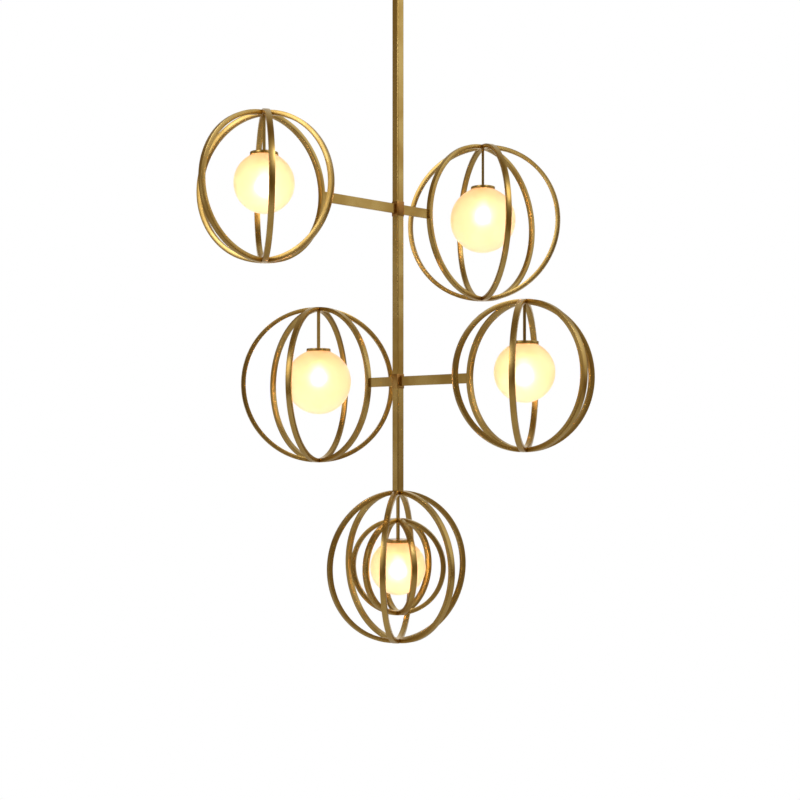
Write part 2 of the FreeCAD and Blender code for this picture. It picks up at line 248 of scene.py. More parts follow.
def startGroup(name, inputs, outputs):
    group = bpy.data.node_groups.new(name, "ShaderNodeTree")
    for label, kind, value in inputs:
        socket = group.interface.new_socket(label, in_out="INPUT", socket_type=kind)
        if value is not None:
            socket.default_value = value
    for label, kind in outputs:
        group.interface.new_socket(label, in_out="OUTPUT", socket_type=kind)
    source = addNode(group, "NodeGroupInput", (-900, 0))
    result = addNode(group, "NodeGroupOutput", (700, 0))
    return group, source, result


def mathNode(tree, operation, place, first, second=None, third=None, clamp=False):
    node = addNode(tree, "ShaderNodeMath", place, {"operation": operation, "use_clamp": clamp})
    for index, value in enumerate((first, second, third)):
        if value is None:
            continue
        if isinstance(value, (int, float)):
            node.inputs[index].default_value = value
        else:
            join(tree, value, node.inputs[index])
    return node.outputs[0]


def mixColours(tree, place, factor, first, second, blend="MIX"):
    node = addNode(tree, "ShaderNodeMix", place, {"data_type": "RGBA", "blend_type": blend})
    for index, value in ((0, factor), (6, first), (7, second)):
        if isinstance(value, (int, float)):
            node.inputs[index].default_value = value
        elif isinstance(value, tuple):
            node.inputs[index].default_value = (*value, 1.0)
        else:
            join(tree, value, node.inputs[index])
    return node.outputs[2]


def spread(tree, place, value, fromLow, fromHigh, toLow, toHigh, kind="SMOOTHSTEP"):
    node = addNode(tree, "ShaderNodeMapRange", place, {"interpolation_type": kind}, {
        "From Min": fromLow, "From Max": fromHigh, "To Min": toLow, "To Max": toHigh})
    join(tree, value, node.inputs["Value"])
    return node.outputs["Result"]


def buildGrainGroup():
    # fine belt marks: long along the piece, close together across it
    group, source, result = startGroup("beltGrain", [
        ("Vector", "NodeSocketVector", None),
        ("Depth", "NodeSocketFloat", 1.0),
    ], [("Streak", "NodeSocketFloat"), ("Height", "NodeSocketFloat")])
    fine = addNode(group, "ShaderNodeTexNoise", (-600, 160), None, {
        "Scale": 1.0, "Detail": 3.0, "Roughness": 0.65})
    join(group, source.outputs["Vector"], fine.inputs["Vector"])
    wide = addNode(group, "ShaderNodeTexNoise", (-600, -160), None, {
        "Scale": 0.22, "Detail": 2.0, "Roughness": 0.5})
    join(group, source.outputs["Vector"], wide.inputs["Vector"])
    fineShare = mathNode(group, "MULTIPLY", (-480, 160), fine.outputs["Fac"], 0.55)
    both = mathNode(group, "MULTIPLY_ADD", (-360, 60), wide.outputs["Fac"], 0.45, fineShare)
    centred = mathNode(group, "SUBTRACT", (-180, 60), both, 0.5)
    streak = mathNode(group, "MULTIPLY", (60, 60), centred, source.outputs["Depth"])
    height = mathNode(group, "MULTIPLY", (60, -120), both, source.outputs["Depth"])
    join(group, streak, result.inputs["Streak"])
    join(group, height, result.inputs["Height"])
    return group


def buildPatinaGroup():
    # slow changes of tone over a hand's breadth, and small spots of dulled lacquer
    group, source, result = startGroup("patinaClouds", [
        ("Vector", "NodeSocketVector", None),
        ("Cloud Size", "NodeSocketFloat", 12.0),
        ("Spot Size", "NodeSocketFloat", 260.0),
        ("Spots", "NodeSocketFloat", 0.5),
    ], [("Clouds", "NodeSocketFloat"), ("Spots", "NodeSocketFloat")])
    cloud = addNode(group, "ShaderNodeTexNoise", (-600, 160), None, {
        "Detail": 4.0, "Roughness": 0.55, "Distortion": 0.3})
    join(group, source.outputs["Vector"], cloud.inputs["Vector"])
    join(group, source.outputs["Cloud Size"], cloud.inputs["Scale"])
    spot = addNode(group, "ShaderNodeTexNoise", (-600, -160), None, {
        "Detail": 2.0, "Roughness": 0.6})
    join(group, source.outputs["Vector"], spot.inputs["Vector"])
    join(group, source.outputs["Spot Size"], spot.inputs["Scale"])
    clouds = spread(group, (-300, 160), cloud.outputs["Fac"], 0.33, 0.68, 0.0, 1.0)
    specks = spread(group, (-300, -160), spot.outputs["Fac"], 0.62, 0.74, 0.0, 1.0)
    spots = mathNode(group, "MULTIPLY", (-60, -160), specks, source.outputs["Spots"])
    join(group, clouds, result.inputs["Clouds"])
    join(group, spots, result.inputs["Spots"])
    return group


def buildEdgeGroup():
    # 1 where the surface turns over an edge, broken up so that the wear isn't even
    group, source, result = startGroup("edgeWear", [
        ("Vector", "NodeSocketVector", None),
        ("Width", "NodeSocketFloat", 0.0006),
        ("Amount", "NodeSocketFloat", 1.0),
    ], [("Edge", "NodeSocketFloat")])
    rounded = addNode(group, "ShaderNodeBevel", (-660, 160), {"samples": 6})
    join(group, source.outputs["Width"], rounded.inputs["Radius"])
    surface = addNode(group, "ShaderNodeNewGeometry", (-660, -40))
    turn = addNode(group, "ShaderNodeVectorMath", (-440, 100), {"operation": "DOT_PRODUCT"})
    join(group, rounded.outputs["Normal"], turn.inputs[0])
    join(group, surface.outputs["Normal"], turn.inputs[1])
    edge = spread(group, (-240, 100), turn.outputs["Value"], 0.999, 0.9, 0.0, 1.0, "LINEAR")
    breaks = addNode(group, "ShaderNodeTexNoise", (-440, -200), None, {
        "Scale": 70.0, "Detail": 3.0})
    join(group, source.outputs["Vector"], breaks.inputs["Vector"])
    uneven = spread(group, (-240, -200), breaks.outputs["Fac"], 0.35, 0.65, 0.35, 1.0)
    worn = mathNode(group, "MULTIPLY", (0, 0), edge, uneven)
    wear = mathNode(group, "MULTIPLY", (200, 0), worn, source.outputs["Amount"])
    join(group, wear, result.inputs["Edge"])
    return group


beltGrain = buildGrainGroup()
patinaClouds = buildPatinaGroup()
edgeWear = buildEdgeGroup()
print("shader groups built")


def useGroup(tree, group, place, vector, values):
    node = addNode(tree, "ShaderNodeGroup", place, {"node_tree": group}, values)
    join(tree, vector, node.inputs["Vector"])
    return node


def startMaterial(name, constants):
    material = bpy.data.materials.new(name)
    material.use_nodes = True
    tree = material.node_tree
    shader = tree.nodes["Principled BSDF"]
    for label, value in constants.items():
        shader.inputs[label].default_value = value
    place = addNode(tree, "ShaderNodeTexCoord", (-1300, 0)).outputs["Object"]
    return material, tree, shader, place


metals = {
    "brass": {"bright": (0.63, 0.45, 0.165), "deep": (0.50, 0.32, 0.09), "edge": (0.74, 0.56, 0.25),
              "smooth": 0.24, "dull": 0.33, "depth": 0.4, "spots": 0.3, "edgeWidth": 0.0006,
              "brushed": 0.6},
    # a darker, redder brass, given to the collars
    "deeperBrass": {"bright": (0.60, 0.38, 0.13), "deep": (0.40, 0.19, 0.05), "edge": (0.74, 0.55, 0.26),
               "smooth": 0.24, "dull": 0.36, "depth": 0.5, "spots": 0.6, "edgeWidth": 0.0009,
               "brushed": 0.4},
    "zinc": {"bright": (0.62, 0.62, 0.60), "deep": (0.44, 0.44, 0.42), "edge": (0.80, 0.80, 0.80),
             "smooth": 0.30, "dull": 0.48, "depth": 0.5, "spots": 0.8, "edgeWidth": 0.0005,
             "brushed": 0.2},
    "nickel": {"bright": (0.66, 0.63, 0.58), "deep": (0.50, 0.47, 0.42), "edge": (0.85, 0.83, 0.8),
               "smooth": 0.20, "dull": 0.34, "depth": 0.35, "spots": 0.3, "edgeWidth": 0.0003,
               "brushed": 0.3},
}
metalSurface = {"cloudSize": 11.0, "spotSize": 420.0, "edgeAmount": 0.8, "streakTone": 0.5,
                "streakRough": 0.1, "spotRough": 0.12, "bump": 0.12, "bumpDepth": 0.00004}


def metalMaterial(name, metal, marks, grainAxis):
    # marks is how close the belt marks are along x, y and z, in marks per metre; grainAxis is the
    # axis that they run along, or "ROUND" where the piece carries their direction itself
    look = metals[metal]
    material, tree, shader, place = startMaterial(name, {
        "Metallic": 1.0, "Anisotropic": look["brushed"],
        "Anisotropic Rotation": 0.25 if grainAxis == "ROUND" else 0.0})
    source = place
    if grainAxis == "ROUND":
        line = addNode(tree, "ShaderNodeAttribute", (-1300, -260), {"attribute_name": "grainLine"})
        source = line.outputs["Vector"]
        way = addNode(tree, "ShaderNodeAttribute", (-640, -560), {"attribute_name": "grainWay"})
        tangent = addNode(tree, "ShaderNodeVectorTransform", (-420, -560), {
            "vector_type": "VECTOR", "convert_from": "OBJECT", "convert_to": "WORLD"})
        join(tree, way.outputs["Vector"], tangent.inputs["Vector"])
        join(tree, tangent.outputs["Vector"], shader.inputs["Tangent"])
    else:
        tangent = addNode(tree, "ShaderNodeTangent", (-420, -560), {
            "direction_type": "RADIAL", "axis": grainAxis})
        join(tree, tangent.outputs["Tangent"], shader.inputs["Tangent"])
    stretch = addNode(tree, "ShaderNodeVectorMath", (-1100, -260), {"operation": "MULTIPLY"})
    join(tree, source, stretch.inputs[0])
    stretch.inputs[1].default_value = marks
    grain = useGroup(tree, beltGrain, (-900, -260), stretch.outputs["Vector"], {
        "Depth": look["depth"]})
    patina = useGroup(tree, patinaClouds, (-900, 120), place, {
        "Cloud Size": metalSurface["cloudSize"], "Spot Size": metalSurface["spotSize"],
        "Spots": look["spots"]})
    edge = useGroup(tree, edgeWear, (-900, 360), place, {
        "Width": look["edgeWidth"], "Amount": metalSurface["edgeAmount"]})
    clouds, streak = patina.outputs["Clouds"], grain.outputs["Streak"]
    tone = mixColours(tree, (-620, 200), clouds, look["bright"], look["deep"])
    lift = mathNode(tree, "MULTIPLY_ADD", (-620, -120), streak, metalSurface["streakTone"], 1.0)
    brushed = addNode(tree, "ShaderNodeVectorMath", (-420, 120), {"operation": "SCALE"})
    join(tree, tone, brushed.inputs[0])
    join(tree, lift, brushed.inputs["Scale"])
    worn = mixColours(tree, (-220, 200), edge.outputs["Edge"], brushed.outputs["Vector"],
                      look["edge"])
    join(tree, worn, shader.inputs["Base Color"])
    dulled = mathNode(tree, "MULTIPLY_ADD", (-420, -120), clouds, look["dull"] - look["smooth"],
                      look["smooth"])
    streaked = mathNode(tree, "MULTIPLY_ADD", (-220, -120), streak, metalSurface["streakRough"],
                        dulled)
    spotted = mathNode(tree, "MULTIPLY_ADD", (-60, -120), patina.outputs["Spots"],
                       metalSurface["spotRough"], streaked, clamp=True)
    join(tree, spotted, shader.inputs["Roughness"])
    bump = addNode(tree, "ShaderNodeBump", (-220, -340), None, {
        "Strength": metalSurface["bump"], "Distance": metalSurface["bumpDepth"]})
    join(tree, grain.outputs["Height"], bump.inputs["Height"])
    join(tree, bump.outputs["Normal"], shader.inputs["Normal"])
    return material


brassRound = metalMaterial("satinBrassRound", "brass", (22, 22, 2600), "ROUND")
brassUpright = metalMaterial("satinBrassUpright", "brass", (2600, 2600, 22), "Z")
# the collars get a darker, redder brass than the stem and arms
brassDarker = metalMaterial("darkerCollarBrass", "deeperBrass", (2600, 2600, 40), "Z")
brassAlongX = metalMaterial("satinBrassAlongX", "brass", (22, 2600, 2600), "X")
brassAlongY = metalMaterial("satinBrassAlongY", "brass", (2600, 22, 2600), "Y")
zincPlate = metalMaterial("zincPlate", "zinc", (300, 900, 900), "X")
lampShell = metalMaterial("lampShell", "nickel", (30, 30, 3000), "ROUND")


opalLook = {"low": (1.0, 0.86, 0.58), "middle": (0.88, 0.66, 0.34), "high": (0.78, 0.44, 0.17),
            "glow": 0.30, "body": (0.97, 0.82, 0.67), "cloudy": (0.95, 0.80, 0.62),
            "through": 0.55, "waist": 0.55, "drift": -0.05, "satin": 0.37, "uneven": 0.05,
            "cloudSize": 26.0, "spotSize": 900.0, "spots": 0.5, "bump": 0.12, "bumpDepth": 0.0001}


def opalMaterial():
    material, tree, shader, place = startMaterial("opalGlass", {
        "Metallic": 0.0, "IOR": 1.45, "Transmission Weight": opalLook["through"],
        "Emission Strength": opalLook["glow"]})
    share = addNode(tree, "ShaderNodeAttribute", (-1100, 200), {"attribute_name": "heightShare"})
    height = share.outputs["Fac"]
    patina = useGroup(tree, patinaClouds, (-1100, -80), place, {
        "Cloud Size": opalLook["cloudSize"], "Spot Size": opalLook["spotSize"],
        "Spots": opalLook["spots"]})
    clouds = patina.outputs["Clouds"]
    # painted light: the globe's glow is paler and brighter low down and darker, more orange toward
    # the cap, where the bulb lights the glass less
    lower = spread(tree, (-860, 260), height, 0.0, opalLook["waist"], 0.0, 1.0)
    upper = spread(tree, (-860, 60), height, opalLook["waist"], 1.0, 0.0, 1.0)
    rising = mixColours(tree, (-620, 260), lower, opalLook["low"], opalLook["middle"])
    glow = mixColours(tree, (-420, 200), upper, rising, opalLook["high"])
    drift = mathNode(tree, "MULTIPLY_ADD", (-620, 0), clouds, opalLook["drift"], 1.0)
    cloudy = addNode(tree, "ShaderNodeVectorMath", (-220, 200), {"operation": "SCALE"})
    join(tree, glow, cloudy.inputs[0])
    join(tree, drift, cloudy.inputs["Scale"])
    join(tree, cloudy.outputs["Vector"], shader.inputs["Emission Color"])
    body = mixColours(tree, (-420, -40), clouds, opalLook["body"], opalLook["cloudy"])
    join(tree, body, shader.inputs["Base Color"])
    satin = mathNode(tree, "MULTIPLY_ADD", (-420, -240), clouds, opalLook["uneven"],
                     opalLook["satin"])
    join(tree, satin, shader.inputs["Roughness"])
    bump = addNode(tree, "ShaderNodeBump", (-220, -400), None, {
        "Strength": opalLook["bump"], "Distance": opalLook["bumpDepth"]})
    join(tree, patina.outputs["Spots"], bump.inputs["Height"])
    join(tree, bump.outputs["Normal"], shader.inputs["Normal"])
    return material


bulbGlow = {"strength": 29.0, "low": (1.0, 0.88, 0.72), "high": (0.34, 0.20, 0.09),
            "from": 0.15, "to": 0.75, "body": (0.93, 0.90, 0.84), "cloudy": (0.88, 0.84, 0.77),
            "satin": 0.45, "uneven": 0.1, "cloudSize": 60.0, "spotSize": 1500.0, "spots": 0.4}


def bulbMaterial():
    material, tree, shader, place = startMaterial("litBulb", {
        "Metallic": 0.0, "IOR": 1.45, "Emission Strength": bulbGlow["strength"]})
    share = addNode(tree, "ShaderNodeAttribute", (-900, 200), {"attribute_name": "heightShare"})
    patina = useGroup(tree, patinaClouds, (-900, -80), place, {
        "Cloud Size": bulbGlow["cloudSize"], "Spot Size": bulbGlow["spotSize"],
        "Spots": bulbGlow["spots"]})
    clouds = patina.outputs["Clouds"]
    upper = spread(tree, (-660, 200), share.outputs["Fac"], bulbGlow["from"], bulbGlow["to"],
                   0.0, 1.0)
    glow = mixColours(tree, (-420, 200), upper, bulbGlow["low"], bulbGlow["high"])
    join(tree, glow, shader.inputs["Emission Color"])
    body = mixColours(tree, (-420, 0), clouds, bulbGlow["body"], bulbGlow["cloudy"])
    join(tree, body, shader.inputs["Base Color"])
    satin = mathNode(tree, "MULTIPLY_ADD", (-420, -200), clouds, bulbGlow["uneven"],
                     bulbGlow["satin"])
    join(tree, satin, shader.inputs["Roughness"])
    return material


glazeLook = {"body": (0.86, 0.82, 0.72), "cloudy": (0.80, 0.75, 0.64), "speck": (0.52, 0.44, 0.33),
             "thin": (0.93, 0.90, 0.84), "coat": 0.6, "coatRough": 0.08, "gloss": 0.2,
             "uneven": 0.12, "edgeWidth": 0.0008, "edgeAmount": 0.5, "cloudSize": 55.0,
             "spotSize": 900.0, "spots": 0.7, "bump": 0.15, "bumpDepth": 0.0002}


def glazeMaterial():
    material, tree, shader, place = startMaterial("glazedHolder", {
        "Metallic": 0.0, "IOR": 1.5, "Coat Weight": glazeLook["coat"],
        "Coat Roughness": glazeLook["coatRough"]})
    patina = useGroup(tree, patinaClouds, (-900, 0), place, {
        "Cloud Size": glazeLook["cloudSize"], "Spot Size": glazeLook["spotSize"],
        "Spots": glazeLook["spots"]})
    clouds = patina.outputs["Clouds"]
    edge = useGroup(tree, edgeWear, (-900, 260), place, {
        "Width": glazeLook["edgeWidth"], "Amount": glazeLook["edgeAmount"]})
    body = mixColours(tree, (-620, 60), clouds, glazeLook["body"], glazeLook["cloudy"])
    specked = mixColours(tree, (-420, 60), patina.outputs["Spots"], body, glazeLook["speck"])
    thin = mixColours(tree, (-220, 120), edge.outputs["Edge"], specked, glazeLook["thin"])
    join(tree, thin, shader.inputs["Base Color"])
    gloss = mathNode(tree, "MULTIPLY_ADD", (-420, -160), clouds, glazeLook["uneven"],
                     glazeLook["gloss"])
    join(tree, gloss, shader.inputs["Roughness"])
    bump = addNode(tree, "ShaderNodeBump", (-220, -320), None, {
        "Strength": glazeLook["bump"], "Distance": glazeLook["bumpDepth"]})
    join(tree, clouds, bump.inputs["Height"])
    join(tree, bump.outputs["Normal"], shader.inputs["Normal"])
    return material


opalGlass = opalMaterial()
litBulb = bulbMaterial()
glazedHolder = glazeMaterial()
print("materials built")


# hoops are rolled bars, lapped in thirds where they cross at the poles
hoopLook = {"segments": 180, "depth": 0.0078, "width": 0.0095, "lapGap": 0.00004, "edge": 0.0003,
            "pinRadius": 0.00204, "pinSides": 32, "rodHole": 0.00508}


def slabCutter(radius, turn, low, high):
    # the space a neighbour's bar takes at both poles, between two depths
    blocks = []
    for side in (1, -1):
        bpy.ops.object.select_all(action="DESELECT")
        bpy.ops.mesh.primitive_cube_add(size=1, location=(0, 0, side * (low + high) / 2))
        block = bpy.context.object
        block.scale = (radius, hoopLook["width"] + 2 * hoopLook["lapGap"], high - low)
        block.rotation_euler = (0, 0, math.radians(turn))
        blocks.append(block)
    for block in blocks:
        block.select_set(True)
    bpy.context.view_layer.objects.active = blocks[0]
    bpy.ops.object.join()
    return newPiece("slabCutter")


def poleCutter(radius, innerOrb, turn):
    # the rivet's hole through the bottom pole, and the drop rod's through the top one
    bpy.ops.object.select_all(action="DESELECT")
    sides, pinRadius = hoopLook["pinSides"], hoopLook["pinRadius"]
    if not innerOrb:
        bpy.ops.mesh.primitive_cylinder_add(vertices=sides, radius=pinRadius, depth=3 * radius)
        return newPiece("poleCutter")
    bpy.ops.mesh.primitive_cylinder_add(vertices=sides, radius=pinRadius, depth=radius,
                                        location=(0, 0, -radius))
    pin = bpy.context.object
    bpy.ops.mesh.primitive_cube_add(size=1, location=(0, 0, radius))
    hole = bpy.context.object
    hole.scale = (hoopLook["rodHole"], hoopLook["rodHole"], radius)
    hole.rotation_euler = (0, 0, math.radians(-turn))
    pin.select_set(True)
    bpy.ops.object.join()
    return newPiece("poleCutter")


def modelHoop(name, radius, place, turns, innerOrb=False):
    third = hoopLook["depth"] / 3
    over = radius + hoopLook["depth"]
    under = radius - 2 * hoopLook["depth"]
    high, low = radius - third, radius - 2 * third
    # (neighbour, from, to): hoop a keeps the outer third, b the middle one, c the inner one
    laps = {0: [(1, under, high), (2, under, high)],
            1: [(0, high, over), (2, under, low)],
            2: [(0, high, over), (1, low, over)]}[place]
    bpy.ops.object.select_all(action="DESELECT")
    bpy.ops.mesh.primitive_cylinder_add(
        vertices=hoopLook["segments"], radius=radius, depth=hoopLook["width"],
        end_fill_type="NOTHING", rotation=(math.pi / 2, 0, 0))
    hoop = newPiece(name)
    editAll(hoop)
    bpy.ops.mesh.solidify(thickness=hoopLook["depth"])
    bpy.ops.mesh.select_all(action="SELECT")
    bpy.ops.mesh.normals_make_consistent(inside=False)
    bpy.ops.object.mode_set(mode="OBJECT")
    for neighbour, start, end in laps:
        cutWith(hoop, slabCutter(radius, turns[neighbour] - turns[place], start, end))
    cutWith(hoop, poleCutter(radius, innerOrb, turns[place]))
    easeEdges(hoop, hoopLook["edge"])
    smoothFaces(hoop)
    return hoop


for orb, turns in orbs.items():
    low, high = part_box(f"{orb}_hoop_a")
    centre = (low + high) / 2
    radius = math.hypot((high.z - low.z) / 2, hoopLook["pinRadius"])
    for place, letter in enumerate("abc"):
        node = f"{orb}_hoop_{letter}"
        hoop = modelHoop(f"{node}_bar", radius, place, turns, orb == "inner_orb")
        placePiece(hoop, centre, turns[place])
        angle = math.radians(turns[place])
        writeGrain(hoop, centre, Vector((-math.sin(angle), math.cos(angle), 0)))
        dress(hoop, "fixture", "brass", brassRound, node)
print("hoops modelled")


globeLook = {"segments": 96, "rings": 64, "wall": 0.0025, "neckInset": 0.0015, "neckBend": 0.0012,
             "bendSteps": 3, "lip": 0.0007, "lipSteps": 3, "lipAngle": 60, "smooth": 50}


def writeHeight(piece):
    heights = [vertex.co.z for vertex in piece.data.vertices]
    low, high = min(heights), max(heights)
    share = piece.data.attributes.new("heightShare", "FLOAT", "POINT")
    for vertex in piece.data.vertices:
        share.data[vertex.index].value = (vertex.co.z - low) / (high - low)


def modelGlobe(radius, neckRadius, neckTop):
    # a blown ball with its middle at the origin, opened at the neck and drawn up
    neckLevel = math.sqrt(radius ** 2 - neckRadius ** 2)
    bpy.ops.object.select_all(action="DESELECT")
    bpy.ops.mesh.primitive_uv_sphere_add(segments=globeLook["segments"],
                                         ring_count=globeLook["rings"], radius=radius)
    globe = newPiece("globePattern")
    editAll(globe)
    bpy.ops.mesh.bisect(plane_co=(0, 0, neckLevel), plane_no=(0, 0, 1), clear_outer=True)
    selectLevel(globe, neckLevel, 1e-5)
    bpy.ops.mesh.extrude_edges_move(TRANSFORM_OT_translate={"value": (0, 0, neckTop - neckLevel)})
    selectLevel(globe, neckLevel, 1e-5)
    bpy.ops.mesh.bevel(offset=globeLook["neckBend"], segments=globeLook["bendSteps"],
                       affect="EDGES")
    bpy.ops.object.mode_set(mode="OBJECT")
    runModifier(globe, "SOLIDIFY", thickness=globeLook["wall"], offset=-1, use_even_offset=True)
    easeEdges(globe, globeLook["lip"], globeLook["lipSteps"], globeLook["lipAngle"])
    writeHeight(globe)
    smoothFaces(globe, globeLook["smooth"])
    return globe


def fitGlobe(orb):
    low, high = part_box(f"{orb}_globe")
    capLow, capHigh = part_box(f"{orb}_globe_cap")
    radius = (high.x - low.x) / 2
    centre = Vector(((low.x + high.x) / 2, (low.y + high.y) / 2, low.z + radius))
    neckRadius = (capHigh.x - capLow.x) / 2 - globeLook["neckInset"]
    pattern = patternFor(modelGlobe, radius, neckRadius, high.z - centre.z)
    globe = copyAt(pattern, f"{orb}_globe_glass", centre)
    dress(globe, f"{orb}_globe", "opal_glass", opalGlass, f"{orb}_globe")


for orb in lampOrbs:
    fitGlobe(orb)
print("globes modelled")

# share of the way up from the bulb's waist, and how much of the waist's width is left there
bulbLook = {"segments": 48, "rings": 32, "baseSides": 40, "baseRadius": 0.0066,
            "threadRadius": 0.0069, "baseLength": 0.018, "threads": 5, "tipRadius": 0.0026,
            "intoBase": 0.002, "skirt": 0.006, "smooth": 50,
            "neckSteps": ((0.22, 0.62), (0.48, 0.30), (0.74, 0.08), (1.0, 0.0))}


def modelBulbGlass(radius, tall):
    glassTop = tall - bulbLook["baseLength"]
    bpy.ops.object.select_all(action="DESELECT")
    bpy.ops.mesh.primitive_uv_sphere_add(
        segments=bulbLook["segments"], ring_count=bulbLook["rings"], radius=radius,
        location=(0, 0, radius))
    bulb = newPiece("bulbPattern")
    waistRing = radius * math.sqrt(0.5)
    waist = radius + waistRing
    editAll(bulb)
    bpy.ops.mesh.bisect(plane_co=(0, 0, waist), plane_no=(0, 0, 1), clear_outer=True)
    selectLevel(bulb, waist, 1e-5)
    ring, level = waistRing, waist
    neck = bulbLook["baseRadius"] * 0.97
    for share, taper in bulbLook["neckSteps"]:
        nextRing = neck + (waistRing - neck) * taper
        nextLevel = waist + (glassTop + bulbLook["intoBase"] - waist) * share
        rise = {"value": (0, 0, nextLevel - level)}
        bpy.ops.mesh.extrude_edges_move(TRANSFORM_OT_translate=rise)
        bpy.ops.transform.resize(value=(nextRing / ring, nextRing / ring, 1))
        ring, level = nextRing, nextLevel
    bpy.ops.mesh.edge_face_add()
    bpy.ops.object.mode_set(mode="OBJECT")
    writeHeight(bulb)
    smoothFaces(bulb, bulbLook["smooth"])
    return bulb


def modelBulbBase(tall):
    # the screw base: a collar, rolled threads, a skirt and the contact
    base, thread, tip = bulbLook["baseRadius"], bulbLook["threadRadius"], bulbLook["tipRadius"]
    start = tall - bulbLook["baseLength"]
    outline = [(base * 0.98, start - 0.0012), (thread, start - 0.0004), (thread, start + 0.0012)]
    pitch = (bulbLook["baseLength"] - bulbLook["skirt"]) / bulbLook["threads"]
    for turn in range(bulbLook["threads"]):
        foot = start + bulbLook["intoBase"] + turn * pitch
        outline += [(base - 0.0005, foot), (base - 0.0003, foot + pitch * 0.2),
                    (thread, foot + pitch * 0.5), (base - 0.0003, foot + pitch * 0.8)]
    outline += [(base - 0.0012, tall - 0.0030), (tip + 0.0008, tall - 0.0012),
                (tip, tall - 0.0004), (tip * 0.6, tall)]
    piece = turnedPiece("bulbBasePattern", outline, bulbLook["baseSides"])
    smoothFaces(piece, bulbLook["smooth"])
    return piece


def fitBulb(orb):
    low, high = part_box(f"{orb}_bulb")
    middle = middleOf(f"{orb}_bulb")
    foot = Vector((middle.x, middle.y, low.z))
    tall = high.z - low.z
    pattern = patternFor(modelBulbGlass, (high.x - low.x) / 2, tall)
    glass = copyAt(pattern, f"{orb}_bulb_glass", foot)
    dress(glass, f"{orb}_bulb", "bulb", litBulb, f"{orb}_bulb")
    base = copyAt(patternFor(modelBulbBase, tall), f"{orb}_bulb_base", foot)
    writeGrain(base, foot, upright)
    dress(base, f"{orb}_bulb", "bulb", lampShell)


holderLook = {"sides": 56, "socketRadius": 0.0071, "floor": 0.006, "threadHole": 0.00235,
              "round": 0.0012, "topInset": 0.003, "shoulder": 0.006, "grooves": (0.0075, 0.0105),
              "grooveDepth": 0.0007, "grooveMouth": 0.0008, "grooveFlat": 0.0003, "smooth": 40}


def modelHolder(radius, tall):
    edge, shoulder, hole = holderLook["round"], holderLook["shoulder"], holderLook["threadHole"]
    topEdge = radius - holderLook["topInset"]
    socket = holderLook["socketRadius"]
    outline = [(hole, tall), (topEdge - edge, tall), (topEdge, tall - edge)]
    outline += arcPoints(radius - shoulder, tall - shoulder, shoulder, 45, 0, 4)
    bottom = radius - holderLook["grooveDepth"]
    for groove in holderLook["grooves"]:
        level = tall - groove
        mouth, flat = holderLook["grooveMouth"], holderLook["grooveFlat"]
        outline += [(radius, level + mouth), (bottom, level + flat),
                    (bottom, level - flat), (radius, level - mouth)]
    outline += arcPoints(radius - edge, edge, edge, 0, -90, 4)
    outline += arcPoints(socket + edge, edge, edge, -90, -180, 4)
    floor = tall - holderLook["floor"]
    outline += [(socket, floor), (hole, floor), (hole, tall)]
    holder = turnedPiece("holderPattern", outline, holderLook["sides"])
    smoothFaces(holder, holderLook["smooth"])
    return holder


def fitHolder(orb):
    low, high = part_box(f"{orb}_lamp_holder")
    middle = middleOf(f"{orb}_lamp_holder")
    pattern = patternFor(modelHolder, (high.x - low.x) / 2, high.z - low.z)
    holder = copyAt(pattern, f"{orb}_holder_cup", (middle.x, middle.y, low.z))
    dress(holder, "fixture", "holder", glazedHolder, f"{orb}_lamp_holder")


capLook = {"sides": 96, "wall": 0.0012, "plate": 0.0015, "shoulder": 0.0011, "bead": 0.0003,
           "beadHeight": 0.0011, "beadNeck": 0.00165, "hole": 0.00235, "smooth": 40}


def modelCap(radius, tall):
    side = radius - capLook["bead"]
    turn, hole = capLook["shoulder"], capLook["hole"]
    half = capLook["beadHeight"] / 2
    inside, plate = radius - capLook["wall"], tall - capLook["plate"]
    outline = [(hole, tall)]
    outline += arcPoints(side - turn, tall - turn, turn, 90, 0, 5)
    outline += [(side, capLook["beadNeck"])]
    outline += arcPoints(radius - half, half, half, 80, -80, 6)
    outline += [(inside, 0.0), (inside, plate), (hole, plate), (hole, tall)]
    cap = turnedPiece("capPattern", outline, capLook["sides"])
    smoothFaces(cap, capLook["smooth"])
    return cap


def fitCap(orb):
    low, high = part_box(f"{orb}_globe_cap")
    middle = middleOf(f"{orb}_globe_cap")
    foot = Vector((middle.x, middle.y, low.z))
    pattern = patternFor(modelCap, (high.x - low.x) / 2, high.z - low.z)
    cap = copyAt(pattern, f"{orb}_cap_spinning", foot)
    writeGrain(cap, foot, upright)
    dress(cap, "fixture", "brass", brassRound, f"{orb}_globe_cap")


for orb in lampOrbs:
    fitBulb(orb)
    fitHolder(orb)
    fitCap(orb)
for pattern in patterns.values():
    bpy.data.objects.remove(pattern)
print("lamps modelled")


canopyLook = {"sides": 128, "wall": 0.0012, "corner": 0.008, "hole": 0.0049, "hem": 0.0004}


def modelCanopy():
    low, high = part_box("canopy")
    radius = (high.x - low.x) / 2
    bend, wall = canopyLook["corner"], canopyLook["wall"]
    outline = [(radius - canopyLook["hem"], high.z), (radius, high.z - canopyLook["hem"])]
    outline += arcPoints(radius - bend, low.z + bend, bend, 0, -90, 12)
    outline += [(canopyLook["hole"], low.z), (canopyLook["hole"], low.z + wall)]
    outline += arcPoints(radius - bend, low.z + bend, bend - wall, -90, 0, 12)
    outline += [(radius - wall, high.z), outline[0]]
    canopy = turnedPiece("canopy_spinning", outline, canopyLook["sides"])
    smoothFaces(canopy, 40)
    writeGrain(canopy, Vector((0, 0, low.z)), upright)
    dress(canopy, "ceiling_mount", "brass", brassRound, "canopy")


collarLook = {"wall": 0.00075, "corner": 0.002, "cornerSteps": 5, "edge": 0.0003,
              "windowGap": 0.0001, "windowReach": 0.05}


